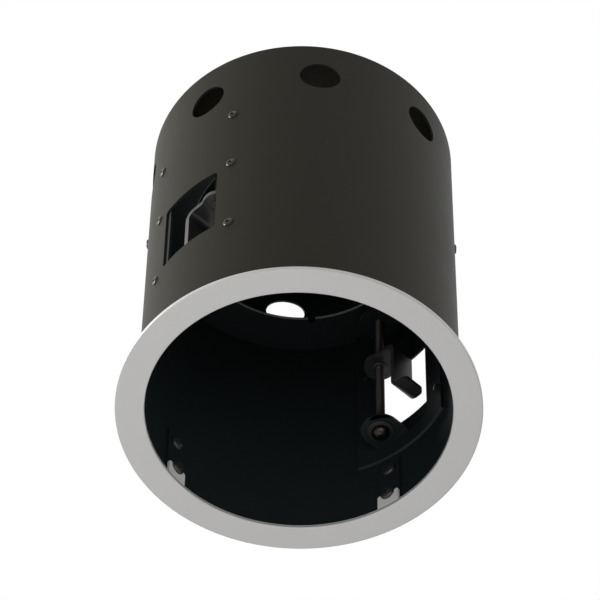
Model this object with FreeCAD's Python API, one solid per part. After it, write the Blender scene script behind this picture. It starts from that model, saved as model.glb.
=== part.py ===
import FreeCAD, Part

import math
import os

# A round recessed housing for a ceiling light, in millimetres. The visible face of the
# trim ring lies on z = 0, the housing rises along +Z, and the Z axis is its centre line.

# Housing tube and its closed top
TUBE_OUTER_DIA = 163.4
TUBE_WALL = 1.2
WIRING_SPACE = 47.0
COVER_SHEET = 1.2
COVER_RIM_DEPTH = 12.0
COVER_EDGE = 1.0
CABLE_HOLE_DIA = 21.6
CABLE_HOLE_DROP = 27.0
CABLE_HOLE_COUNT = 8
CABLE_HOLE_START = -84.0

# Trim ring
RING_OVERHANG = 10.8
RING_THICKNESS = 2.0
RING_EDGE = 0.6
LUG_THICKNESS = 1.4
LUG_WIDTH = 13.0
LUG_ABOVE_SCREW = 0.5

# Tapped plates inside the tube that take the screws of the trim ring
FIXING_AZIMUTHS = (53.0, 143.0, 233.0, 323.0)
FIXING_PLATE_SHEET = 1.5
FIXING_PLATE_WIDTH = 13.0
FIXING_PLATE_FOOT = 2.0
FIXING_PLATE_MARGIN = 8.0
FIXING_SCREW_RISE = 8.5
FIXING_SCREW_SPACING = 19.5
FIXING_SCREW_DIA = 4.0
FIXING_HEAD_DIA = 8.0
FIXING_HEAD_HEIGHT = 2.4

# Clamp units, which swing a claw out through a window of the tube
UNIT_AZIMUTHS = {"a": -136.0, "b": 44.0}
WINDOW_WIDTH = 38.0
WINDOW_HEIGHT = 46.0
WINDOW_CORNER = 2.0
BRACKET_SHEET = 1.5
BRACKET_RISE = 3.0
BRACKET_SIDE_SHOW = 1.0
SHELF_RISE = 10.5
SHELF_TO_WINDOW = 12.5
WINDOW_TO_UPPER_LEAF = 29.0
LEAF_WIDTH = 21.0
BRACKET_HEAD = 21.0
RIVET_BESIDE_WINDOW = 7.6
RIVET_BELOW_WINDOW = 2.0
RIVET_ABOVE_WINDOW = 2.5
RIVET_BELOW_TOP = 5.0
BRACKET_MARGIN = 4.7

# Clamp screw, which stands this far inside the bracket and this far round from the unit's middle
SCREW_INSET = 10.95
SCREW_OFFSET = 8.5
SCREW_DIA = 5.0
SCREW_TIP_SHOW = 2.45
SCREW_HEAD_DIA = 9.6
SCREW_HEAD_HEIGHT = 3.8
RECESS_ARM_LENGTH = 5.2
RECESS_ARM_WIDTH = 1.1
RECESS_DEPTH = 2.2
FIXING_RECESS_LENGTH = 4.4
WASHER_DIA = 14.0
WASHER_THICKNESS = 1.2
LOCK_NUT_FLATS = 8.0
LOCK_NUT_HEIGHT = 4.0

# Claw, a bent steel strip that is drawn down the screw by a nut in its upper arm
CLAW_STRIP = 2.5
CLAW_WIDTH = 14.0
CLAW_EYE_DIA = 17.0
CLAW_BEND = 6.0
CLAW_ABOVE_SILL = 2.0
CLAW_BELOW_LINTEL = 6.5
CLAW_LEG_REACH = 14.6
CLAW_FOOT_LENGTH = 8.4
CLAW_FOOT_ROUND = 3.0
CLAW_NUT_FLATS = 8.0
CLAW_NUT_HEIGHT = 4.0
CLAW_NUT_SPIGOT_DIA = 6.6
CLAW_NUT_RIM_DIA = 8.2
CLAW_NUT_RIM_HEIGHT = 0.8

# Partition ring inside the tube, just above the clamp screws
PARTITION_SHEET = 1.5
PARTITION_WIDTH = 22.0
PARTITION_NOTCH_AZIMUTH = 84.0
PARTITION_NOTCH_WIDTH = 4.0
PARTITION_NOTCH_DEPTH = 3.0
PARTITION_TAB_WIDTH = 18.0
PARTITION_TAB_DROP = 17.0
PARTITION_TAB_AZIMUTHS = (0.0, 180.0)
PARTITION_RIVET_DROP = 11.0

# Rivets
RIVET_DIA = 3.2
RIVET_HEAD_DIA = 5.4
RIVET_HEAD_HEIGHT = 1.1
RIVET_TAIL_DIA = 4.4
RIVET_TAIL_HEIGHT = 1.0

# Clearances, and how far cutters run past the metal that they cut
SHEET_GAP = 0.05
RUNNING_GAP = 0.05
NOTCH_GAP = 0.5
SCREW_TIP_GAP = 1.0
OVERRUN = 5.0

# Radii that several pieces share
TUBE_OUTER = TUBE_OUTER_DIA / 2.0
TUBE_INNER = TUBE_OUTER - TUBE_WALL
LINER_OUTER = TUBE_INNER - SHEET_GAP
BRACKET_INNER = LINER_OUTER - BRACKET_SHEET
FIXING_PLATE_INNER = LINER_OUTER - FIXING_PLATE_SHEET
LUG_OUTER = FIXING_PLATE_INNER - SHEET_GAP
RING_OPENING = LUG_OUTER - LUG_THICKNESS
RING_OUTER = TUBE_OUTER + RING_OVERHANG
PARTITION_HOLE = TUBE_INNER - PARTITION_WIDTH
SCREW_RADIUS = BRACKET_INNER - SCREW_INSET

# Heights that several pieces share, from the trim ring upwards
LOWER_SCREW_HEIGHT = RING_THICKNESS + FIXING_SCREW_RISE
UPPER_SCREW_HEIGHT = LOWER_SCREW_HEIGHT + FIXING_SCREW_SPACING
FIXING_PLATE_BOTTOM = RING_THICKNESS + FIXING_PLATE_FOOT
FIXING_PLATE_TOP = UPPER_SCREW_HEIGHT + FIXING_PLATE_MARGIN
LUG_TOP = LOWER_SCREW_HEIGHT + LUG_ABOVE_SCREW
BRACKET_BOTTOM = FIXING_PLATE_TOP + BRACKET_RISE
SHELF_TOP = BRACKET_BOTTOM + SHELF_RISE
WINDOW_BOTTOM = SHELF_TOP + SHELF_TO_WINDOW
WINDOW_TOP = WINDOW_BOTTOM + WINDOW_HEIGHT
UPPER_LEAF = WINDOW_TOP + WINDOW_TO_UPPER_LEAF
BRACKET_TOP = UPPER_LEAF + BRACKET_HEAD
LOCK_NUT_BOTTOM = UPPER_LEAF + BRACKET_SHEET + RUNNING_GAP
SCREW_TIP = LOCK_NUT_BOTTOM + LOCK_NUT_HEIGHT + SCREW_TIP_SHOW
CLAW_BOTTOM = WINDOW_BOTTOM + CLAW_ABOVE_SILL
CLAW_TOP = WINDOW_TOP - CLAW_BELOW_LINTEL
CLAW_ARM_UNDERSIDE = CLAW_TOP - CLAW_STRIP
PARTITION_HEIGHT = SCREW_TIP + SCREW_TIP_GAP
PARTITION_TOP = PARTITION_HEIGHT + PARTITION_SHEET
PARTITION_RIVET_HEIGHT = PARTITION_HEIGHT - PARTITION_RIVET_DROP
HOUSING_HEIGHT = BRACKET_TOP + WIRING_SPACE
CABLE_HOLE_HEIGHT = HOUSING_HEIGHT - CABLE_HOLE_DROP

# Places round a clamp unit, from its middle
UNIT_RIVET_SIDE = WINDOW_WIDTH / 2.0 + RIVET_BESIDE_WINDOW
BRACKET_HALF_WIDTH = UNIT_RIVET_SIDE + BRACKET_MARGIN
UNIT_RIVET_ANGLE = math.degrees(math.asin(UNIT_RIVET_SIDE / TUBE_OUTER))
BRACKET_HALF_ANGLE = math.degrees(math.asin(BRACKET_HALF_WIDTH / TUBE_OUTER))
UNIT_RIVET_HEIGHTS = (
    WINDOW_BOTTOM - RIVET_BELOW_WINDOW,
    WINDOW_TOP + RIVET_ABOVE_WINDOW,
    BRACKET_TOP - RIVET_BELOW_TOP,
)

Z_AXIS = FreeCAD.Vector(0, 0, 1)
ORIGIN = FreeCAD.Vector(0, 0, 0)


def turned(shape, degrees):
    """Return a copy of a shape, turned about the housing's centre line."""
    copy = shape.copy()
    copy.rotate(ORIGIN, Z_AXIS, degrees)
    return copy


def drum(radius, bottom, top, x=0.0, y=0.0):
    """Return an upright cylinder between two heights."""
    return Part.makeCylinder(radius, top - bottom, FreeCAD.Vector(x, y, bottom))


def tube(inner, outer, bottom, top, x=0.0, y=0.0):
    """Return an upright ring between two radii and two heights."""
    return drum(outer, bottom, top, x, y).cut(drum(inner, bottom, top, x, y))


def block(x_range, y_range, z_range):
    """Return a box that spans three ranges."""
    corner = FreeCAD.Vector(x_range[0], y_range[0], z_range[0])
    sizes = [span[1] - span[0] for span in (x_range, y_range, z_range)]
    return Part.makeBox(sizes[0], sizes[1], sizes[2], corner)


def curved_plate(inner, outer, half_width, bottom, top):
    """Return a plate that follows the wall on the +X side, as wide as stated."""
    ring = tube(inner, outer, bottom, top)
    return ring.common(block((0, outer + OVERRUN), (-half_width, half_width), (bottom, top)))


def radial_drum(radius, start, end, height):
    """Return a cylinder that points outwards along +X at one height."""
    base = FreeCAD.Vector(start, 0, height)
    return Part.makeCylinder(radius, end - start, base, FreeCAD.Vector(1, 0, 0))


def hexagon(across_flats, bottom, top, x, y):
    """Return an upright hexagonal prism."""
    corner_radius = across_flats / math.sqrt(3)
    corners = []
    for side in range(7):
        angle = math.radians(60 * side)
        point_x = x + corner_radius * math.cos(angle)
        point_y = y + corner_radius * math.sin(angle)
        corners.append(FreeCAD.Vector(point_x, point_y, bottom))
    face = Part.Face(Part.makePolygon(corners))
    return face.extrude(FreeCAD.Vector(0, 0, top - bottom))


def revolved(points):
    """Return the solid that a closed outline of (radius, height) points sweeps round Z."""
    corners = [FreeCAD.Vector(radius, 0, height) for radius, height in points]
    face = Part.Face(Part.makePolygon(corners + corners[:1]))
    return face.revolve(ORIGIN, Z_AXIS, 360)


def flat_seat(radius, seat_dia):
    """Return the radius where a flat face of this diameter meets the wall's inside."""
    return math.sqrt(radius ** 2 - (seat_dia / 2) ** 2)


def rivet(inner, outer, azimuth, height):
    """Return a rivet through sheets that lie between two radii, its dome outside."""
    grip = outer - flat_seat(inner, RIVET_TAIL_DIA)
    shank = RIVET_DIA / 2
    tail = RIVET_TAIL_DIA / 2
    head = RIVET_HEAD_DIA / 2
    body = revolved([
        (0, -grip - RIVET_TAIL_HEIGHT),
        (tail, -grip - RIVET_TAIL_HEIGHT),
        (tail, -grip),
        (shank, -grip),
        (shank, 0),
        (head, 0),
        (shank, RIVET_HEAD_HEIGHT),
        (0, RIVET_HEAD_HEIGHT),
    ])
    body.rotate(ORIGIN, FreeCAD.Vector(0, 1, 0), 90)
    body.translate(FreeCAD.Vector(outer, 0, height))
    return turned(body, azimuth)


def rivet_hole(azimuth, height):
    """Return the cutter for one rivet hole through wall, bracket or tab."""
    radius = RIVET_DIA / 2 + RUNNING_GAP
    return turned(radial_drum(radius, TUBE_INNER / 2, TUBE_OUTER + OVERRUN, height), azimuth)


def unit_rivet_places():
    """Return the (azimuth, height) of each rivet, counted from a unit's middle."""
    places = []
    for height in UNIT_RIVET_HEIGHTS:
        places.append((-UNIT_RIVET_ANGLE, height))
        places.append((UNIT_RIVET_ANGLE, height))
    return places


def window_cutter():
    """Return the cutter for the window of a unit on the +X side, with round corners."""
    start = TUBE_INNER / 2
    end = TUBE_OUTER + OVERRUN
    half = WINDOW_WIDTH / 2
    cutter = block((start, end), (-half, half), (WINDOW_BOTTOM, WINDOW_TOP))
    corners = [edge for edge in cutter.Edges if edge.BoundBox.XLength > (end - start) / 2]
    return cutter.makeFillet(WINDOW_CORNER, corners)


def make_housing_tube():
    """Return the tube with its cable holes, clamp windows and rivet holes."""
    wall = tube(TUBE_INNER, TUBE_OUTER, RING_THICKNESS, HOUSING_HEIGHT)
    cutters = []
    for index in range(CABLE_HOLE_COUNT):
        azimuth = CABLE_HOLE_START + index * 360.0 / CABLE_HOLE_COUNT
        end = TUBE_OUTER + OVERRUN
        hole = radial_drum(CABLE_HOLE_DIA / 2, TUBE_INNER / 2, end, CABLE_HOLE_HEIGHT)
        cutters.append(turned(hole, azimuth))
    for unit_azimuth in UNIT_AZIMUTHS.values():
        cutters.append(turned(window_cutter(), unit_azimuth))
        for azimuth, height in unit_rivet_places():
            cutters.append(rivet_hole(unit_azimuth + azimuth, height))
    for azimuth in PARTITION_TAB_AZIMUTHS:
        cutters.append(rivet_hole(azimuth, PARTITION_RIVET_HEIGHT))
    return wall.cut(cutters)


def make_top_cover():
    """Return the pressed lid, a disc whose rim turns down inside the tube."""
    rim_bottom = HOUSING_HEIGHT - COVER_RIM_DEPTH
    return revolved([
        (0, HOUSING_HEIGHT),
        (LINER_OUTER - COVER_EDGE, HOUSING_HEIGHT),
        (LINER_OUTER, HOUSING_HEIGHT - COVER_EDGE),
        (LINER_OUTER, rim_bottom),
        (LINER_OUTER - COVER_SHEET, rim_bottom),
        (LINER_OUTER - COVER_SHEET, HOUSING_HEIGHT - COVER_SHEET),
        (0, HOUSING_HEIGHT - COVER_SHEET),
    ])


def make_trim_ring():
    """Return the flat ring, its visible edges broken, with lugs bent up round its opening."""
    ring = revolved([
        (RING_OPENING, RING_EDGE),
        (RING_OPENING + RING_EDGE, 0),
        (RING_OUTER - RING_EDGE, 0),
        (RING_OUTER, RING_EDGE),
        (RING_OUTER, RING_THICKNESS),
        (RING_OPENING, RING_THICKNESS),
    ])
    lug = curved_plate(RING_OPENING, LUG_OUTER, LUG_WIDTH / 2, RING_THICKNESS, LUG_TOP)
    notch_radius = FIXING_SCREW_DIA / 2 + RUNNING_GAP
    reach = (RING_OPENING - OVERRUN, LUG_OUTER + OVERRUN)
    notch = radial_drum(notch_radius, reach[0], reach[1], LOWER_SCREW_HEIGHT)
    slot = block(reach, (-notch_radius, notch_radius), (LOWER_SCREW_HEIGHT, LUG_TOP + OVERRUN))
    lug = lug.cut([notch, slot])
    lugs = [turned(lug, azimuth) for azimuth in FIXING_AZIMUTHS]
    return ring.fuse(lugs).removeSplitter()


def make_fixing_plate(azimuth):
    """Return one tapped plate, spot-welded inside the tube behind a lug."""
    half = FIXING_PLATE_WIDTH / 2
    span = (FIXING_PLATE_BOTTOM, FIXING_PLATE_TOP)
    plate = curved_plate(FIXING_PLATE_INNER, LINER_OUTER, half, span[0], span[1])
    hole_radius = FIXING_SCREW_DIA / 2 + RUNNING_GAP
    start = FIXING_PLATE_INNER - OVERRUN
    end = LINER_OUTER + OVERRUN
    for height in (LOWER_SCREW_HEIGHT, UPPER_SCREW_HEIGHT):
        plate = plate.cut(radial_drum(hole_radius, start, end, height))
    return turned(plate, azimuth)


def pan_head_screw(shank_dia, length, head_dia, head_height):
    """Return a screw whose head stands on the XY plane and whose shank hangs below it."""
    shank = shank_dia / 2
    head = head_dia / 2
    edge = head_height / 2
    return revolved([
        (0, -length),
        (shank, -length),
        (shank, 0),
        (head, 0),
        (head, head_height - edge),
        (head - edge, head_height),
        (0, head_height),
    ])


def cross_recess(length, head_height):
    """Return the cutter for a driver's cross in a head that stands on the XY plane."""
    arm = length / 2
    half = RECESS_ARM_WIDTH / 2
    depth = (head_height - RECESS_DEPTH, head_height + OVERRUN)
    return block((-arm, arm), (-half, half), depth).fuse(block((-half, half), (-arm, arm), depth))


def fixing_screw(wall_radius, azimuth, height):
    """Return a pan-head screw from inside the housing, its head seated on a wall's inside."""
    seat = flat_seat(wall_radius, FIXING_HEAD_DIA)
    length = LINER_OUTER - seat - SHEET_GAP
    screw = pan_head_screw(FIXING_SCREW_DIA, length, FIXING_HEAD_DIA, FIXING_HEAD_HEIGHT)
    screw = screw.cut(cross_recess(FIXING_RECESS_LENGTH, FIXING_HEAD_HEIGHT))
    screw.rotate(ORIGIN, FreeCAD.Vector(0, 1, 0), -90)
    screw.translate(FreeCAD.Vector(seat, 0, height))
    return turned(screw, azimuth)


def make_fixing_screws(wall_radius, height):
    """Return one screw for each fixing plate, all at one height."""
    screws = [fixing_screw(wall_radius, azimuth, height) for azimuth in FIXING_AZIMUTHS]
    return Part.makeCompound(screws)


def make_partition_ring():
    """Return the inner ring with its lamp hole, riveting tabs and room for the brackets."""
    ring = tube(PARTITION_HOLE, LINER_OUTER, PARTITION_HEIGHT, PARTITION_TOP)
    tab_bottom = PARTITION_HEIGHT - PARTITION_TAB_DROP
    tab_inner = LINER_OUTER - PARTITION_SHEET
    tab = curved_plate(tab_inner, LINER_OUTER, PARTITION_TAB_WIDTH / 2, tab_bottom, PARTITION_TOP)
    ring = ring.fuse([turned(tab, azimuth) for azimuth in PARTITION_TAB_AZIMUTHS])
    half_notch = PARTITION_NOTCH_WIDTH / 2
    low = PARTITION_HEIGHT - OVERRUN
    high = PARTITION_TOP + OVERRUN
    reach = (PARTITION_HOLE - OVERRUN, PARTITION_HOLE + PARTITION_NOTCH_DEPTH)
    cutters = [turned(block(reach, (-half_notch, half_notch), (low, high)), PARTITION_NOTCH_AZIMUTH)]
    room_angle = BRACKET_HALF_ANGLE + math.degrees(NOTCH_GAP / TUBE_INNER)
    bracket_room = sector(BRACKET_INNER - NOTCH_GAP, LINER_OUTER + OVERRUN, room_angle, low, high)
    for azimuth in UNIT_AZIMUTHS.values():
        cutters.append(turned(bracket_room, azimuth))
    for azimuth in PARTITION_TAB_AZIMUTHS:
        cutters.append(rivet_hole(azimuth, PARTITION_RIVET_HEIGHT))
    return ring.cut(cutters).removeSplitter()


def sector(inner, outer, half_angle, bottom, top):
    """Return a curved plate on the +X side that spans an angle each way."""
    height = top - bottom
    base = FreeCAD.Vector(0, 0, bottom)
    wedge = Part.makeCylinder(outer, height, base, Z_AXIS, 2 * half_angle)
    wedge.rotate(ORIGIN, Z_AXIS, -half_angle)
    return wedge.cut(drum(inner, bottom, top))


def make_partition_rivets():
    """Return the rivets that hold the partition ring's tabs to the tube."""
    inner = LINER_OUTER - PARTITION_SHEET
    rivets = []
    for azimuth in PARTITION_TAB_AZIMUTHS:
        rivets.append(rivet(inner, TUBE_OUTER, azimuth, PARTITION_RIVET_HEIGHT))
    return Part.makeCompound(rivets)


def bearing_leaf(bottom, top):
    """Return a leaf that reaches in from the bracket and carries the screw in a hole."""
    half = LEAF_WIDTH / 2
    leaf = block((SCREW_RADIUS, LINER_OUTER), (SCREW_OFFSET - half, SCREW_OFFSET + half), (bottom, top))
    leaf = leaf.fuse(drum(half, bottom, top, SCREW_RADIUS, SCREW_OFFSET))
    leaf = leaf.common(drum(BRACKET_INNER + BRACKET_SHEET / 2, bottom, top))
    return leaf.cut(drum(SCREW_DIA / 2 + RUNNING_GAP, bottom, top, SCREW_RADIUS, SCREW_OFFSET))


def make_clamp_bracket(unit_azimuth):
    """Return a bracket, a curved plate with two leaves turned in above and below its opening."""
    plate = sector(BRACKET_INNER, LINER_OUTER, BRACKET_HALF_ANGLE, BRACKET_BOTTOM, BRACKET_TOP)
    half = WINDOW_WIDTH / 2 + BRACKET_SIDE_SHOW
    opening = block((TUBE_INNER / 2, TUBE_OUTER), (-half, half), (SHELF_TOP, UPPER_LEAF))
    shelf = bearing_leaf(SHELF_TOP - BRACKET_SHEET, SHELF_TOP)
    upper_leaf = bearing_leaf(UPPER_LEAF, UPPER_LEAF + BRACKET_SHEET)
    bracket = plate.cut(opening).fuse([shelf, upper_leaf]).removeSplitter()
    holes = [rivet_hole(azimuth, height) for azimuth, height in unit_rivet_places()]
    return turned(bracket.cut(holes), unit_azimuth)


def make_unit_rivets(unit_azimuth):
    """Return the six rivets of one clamp unit."""
    rivets = []
    for azimuth, height in unit_rivet_places():
        rivets.append(rivet(BRACKET_INNER, TUBE_OUTER, unit_azimuth + azimuth, height))
    return Part.makeCompound(rivets)


def make_clamp_screw(unit_azimuth):
    """Return the long screw, its cross-recessed head below the shelf."""
    seat = SHELF_TOP - BRACKET_SHEET - WASHER_THICKNESS - RUNNING_GAP
    screw = pan_head_screw(SCREW_DIA, SCREW_TIP - seat, SCREW_HEAD_DIA, SCREW_HEAD_HEIGHT)
    screw = screw.cut(cross_recess(RECESS_ARM_LENGTH, SCREW_HEAD_HEIGHT))
    screw.rotate(ORIGIN, FreeCAD.Vector(1, 0, 0), 180)
    screw.translate(FreeCAD.Vector(SCREW_RADIUS, SCREW_OFFSET, seat))
    return turned(screw, unit_azimuth)


def make_screw_washer(unit_azimuth):
    """Return the washer between the screw's head and the shelf."""
    top = SHELF_TOP - BRACKET_SHEET
    hole = SCREW_DIA / 2 + RUNNING_GAP
    washer = tube(hole, WASHER_DIA / 2, top - WASHER_THICKNESS, top, SCREW_RADIUS, SCREW_OFFSET)
    return turned(washer, unit_azimuth)


def make_lock_nut(unit_azimuth):
    """Return the nut that keeps the screw in the upper leaf."""
    top = LOCK_NUT_BOTTOM + LOCK_NUT_HEIGHT
    nut = hexagon(LOCK_NUT_FLATS, LOCK_NUT_BOTTOM, top, SCREW_RADIUS, SCREW_OFFSET)
    bore = drum(SCREW_DIA / 2 + RUNNING_GAP, LOCK_NUT_BOTTOM, top, SCREW_RADIUS, SCREW_OFFSET)
    return turned(nut.cut(bore), unit_azimuth)


def make_claw_nut(unit_azimuth):
    """Return the nut that drives the claw, its spigot turned over below the arm."""
    nut_bottom = CLAW_TOP + RUNNING_GAP
    nut_top = nut_bottom + CLAW_NUT_HEIGHT
    rim_top = CLAW_ARM_UNDERSIDE - RUNNING_GAP
    rim_bottom = rim_top - CLAW_NUT_RIM_HEIGHT
    nut = hexagon(CLAW_NUT_FLATS, nut_bottom, nut_top, SCREW_RADIUS, SCREW_OFFSET)
    spigot = drum(CLAW_NUT_SPIGOT_DIA / 2, rim_bottom, nut_bottom, SCREW_RADIUS, SCREW_OFFSET)
    rim = drum(CLAW_NUT_RIM_DIA / 2, rim_bottom, rim_top, SCREW_RADIUS, SCREW_OFFSET)
    bore = drum(SCREW_DIA / 2 + RUNNING_GAP, rim_bottom, nut_top, SCREW_RADIUS, SCREW_OFFSET)
    nut = nut.fuse([spigot, rim]).removeSplitter()
    return turned(nut.cut(bore), unit_azimuth)


def claw_side():
    """Return the face of the strip seen from its side: arm, bent corner, leg and foot."""
    leg_inner = SCREW_OFFSET - CLAW_LEG_REACH
    leg_outer = leg_inner - CLAW_STRIP
    foot_end = leg_outer - CLAW_FOOT_LENGTH
    foot_top = CLAW_BOTTOM + CLAW_STRIP
    inner_bend = CLAW_BEND - CLAW_STRIP
    slant = math.sqrt(0.5)

    def point(y, z):
        return FreeCAD.Vector(0, y, z)

    def bend(centre_y, centre_z, radius, start, side_y, side_z, end):
        middle = point(centre_y + side_y * radius * slant, centre_z + side_z * radius * slant)
        return Part.Arc(start, middle, end).toShape()

    upper_y = leg_outer + CLAW_BEND
    upper_z = CLAW_TOP - CLAW_BEND
    lower_y = leg_inner - CLAW_BEND
    lower_z = CLAW_BOTTOM + CLAW_BEND
    arm_start = point(SCREW_OFFSET, CLAW_TOP)
    arm_end = point(upper_y, CLAW_TOP)
    leg_top = point(leg_outer, upper_z)
    leg_low = point(leg_outer, lower_z)
    foot_start = point(lower_y, foot_top)
    foot_tip = point(foot_end, foot_top)
    foot_under = point(foot_end, CLAW_BOTTOM)
    foot_back = point(lower_y, CLAW_BOTTOM)
    back_low = point(leg_inner, lower_z)
    back_top = point(leg_inner, upper_z)
    arm_under = point(upper_y, CLAW_ARM_UNDERSIDE)
    arm_close = point(SCREW_OFFSET, CLAW_ARM_UNDERSIDE)
    edges = [
        Part.makeLine(arm_start, arm_end),
        bend(upper_y, upper_z, CLAW_BEND, arm_end, -1, 1, leg_top),
        Part.makeLine(leg_top, leg_low),
        bend(lower_y, lower_z, inner_bend, leg_low, 1, -1, foot_start),
        Part.makeLine(foot_start, foot_tip),
        Part.makeLine(foot_tip, foot_under),
        Part.makeLine(foot_under, foot_back),
        bend(lower_y, lower_z, CLAW_BEND, foot_back, 1, -1, back_low),
        Part.makeLine(back_low, back_top),
        bend(upper_y, upper_z, inner_bend, back_top, -1, 1, arm_under),
        Part.makeLine(arm_under, arm_close),
        Part.makeLine(arm_close, arm_start),
    ]
    return Part.Face(Part.Wire(edges))


def make_clamp_claw(unit_azimuth):
    """Return the claw, parked inside the tube with its foot pointing along the wall."""
    low_x = SCREW_RADIUS - CLAW_WIDTH / 2
    side = claw_side()
    side.translate(FreeCAD.Vector(low_x, 0, 0))
    strip = side.extrude(FreeCAD.Vector(CLAW_WIDTH, 0, 0))
    foot_end = SCREW_OFFSET - CLAW_LEG_REACH - CLAW_STRIP - CLAW_FOOT_LENGTH
    corners = []
    for edge in strip.Edges:
        box = edge.BoundBox
        if box.YMax < foot_end + CLAW_STRIP / 2 and box.ZLength > CLAW_STRIP / 2:
            corners.append(edge)
    strip = strip.makeFillet(CLAW_FOOT_ROUND, corners)
    eye = drum(CLAW_EYE_DIA / 2, CLAW_ARM_UNDERSIDE, CLAW_TOP, SCREW_RADIUS, SCREW_OFFSET)
    hole_radius = CLAW_NUT_SPIGOT_DIA / 2 + RUNNING_GAP
    hole = drum(hole_radius, CLAW_ARM_UNDERSIDE, CLAW_TOP, SCREW_RADIUS, SCREW_OFFSET)
    claw = strip.fuse(eye).removeSplitter().cut(hole)
    return turned(claw, unit_azimuth)


def make_nodes():
    """Return every piece of the housing by its node name."""
    nodes = {
        "housing_tube": make_housing_tube(),
        "top_cover": make_top_cover(),
        "trim_ring": make_trim_ring(),
        "partition_ring": make_partition_ring(),
        "partition_rivets": make_partition_rivets(),
        "trim_screws": make_fixing_screws(RING_OPENING, LOWER_SCREW_HEIGHT),
        "plate_screws": make_fixing_screws(FIXING_PLATE_INNER, UPPER_SCREW_HEIGHT),
    }
    for index, azimuth in enumerate(FIXING_AZIMUTHS):
        nodes[f"fixing_plate_{index + 1}"] = make_fixing_plate(azimuth)
    for unit, azimuth in UNIT_AZIMUTHS.items():
        nodes[f"clamp_bracket_{unit}"] = make_clamp_bracket(azimuth)
        nodes[f"bracket_rivets_{unit}"] = make_unit_rivets(azimuth)
        nodes[f"clamp_screw_{unit}"] = make_clamp_screw(azimuth)
        nodes[f"screw_washer_{unit}"] = make_screw_washer(azimuth)
        nodes[f"lock_nut_{unit}"] = make_lock_nut(azimuth)
        nodes[f"claw_nut_{unit}"] = make_claw_nut(azimuth)
        nodes[f"clamp_claw_{unit}"] = make_clamp_claw(azimuth)
    return nodes


def main():
    """Build the housing and write one STEP file for each node."""
    os.makedirs("parts", exist_ok=True)
    for name, shape in make_nodes().items():
        shape.exportStep(f"parts/{name}.step")
        print(f"{name}: {len(shape.Solids)} solid(s), {shape.Volume:.1f} cubic mm, valid {shape.isValid()}")


main()
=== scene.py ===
"""Looks of a round recessed light housing: dark tube, silver trim ring and clamp claws."""
import logging
import math
from contextlib import contextmanager
from dataclasses import dataclass, field
from enum import Enum
from typing import Any, Callable, Iterable, Iterator, Sequence

import bpy
from mathutils import Matrix, Vector


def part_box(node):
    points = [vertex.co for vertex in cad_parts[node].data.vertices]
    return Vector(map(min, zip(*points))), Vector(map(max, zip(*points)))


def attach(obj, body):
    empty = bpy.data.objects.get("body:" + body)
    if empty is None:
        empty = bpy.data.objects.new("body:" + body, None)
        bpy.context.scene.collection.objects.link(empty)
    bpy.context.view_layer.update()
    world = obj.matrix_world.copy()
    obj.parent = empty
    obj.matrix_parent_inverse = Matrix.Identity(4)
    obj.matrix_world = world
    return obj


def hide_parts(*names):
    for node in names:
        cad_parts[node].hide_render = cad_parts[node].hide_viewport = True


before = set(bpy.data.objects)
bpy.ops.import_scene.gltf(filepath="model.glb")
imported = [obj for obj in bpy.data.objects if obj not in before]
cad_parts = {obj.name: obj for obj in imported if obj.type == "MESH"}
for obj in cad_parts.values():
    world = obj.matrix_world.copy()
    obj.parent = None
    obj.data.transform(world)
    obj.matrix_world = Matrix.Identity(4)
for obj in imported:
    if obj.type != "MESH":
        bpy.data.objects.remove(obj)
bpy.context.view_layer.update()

log = logging.getLogger("housing")

Point = tuple[float, float]
Colour = tuple[float, float, float]
Tones = tuple[Colour, Colour]
Mesh = bpy.types.Object
MM = 0.001
FACETS = 288
OVERRUN = 5 * MM


class Solver(Enum):
    """How a cutter acts on a piece."""

    CUT = "DIFFERENCE"
    JOIN = "UNION"
    KEEP = "INTERSECT"


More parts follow.
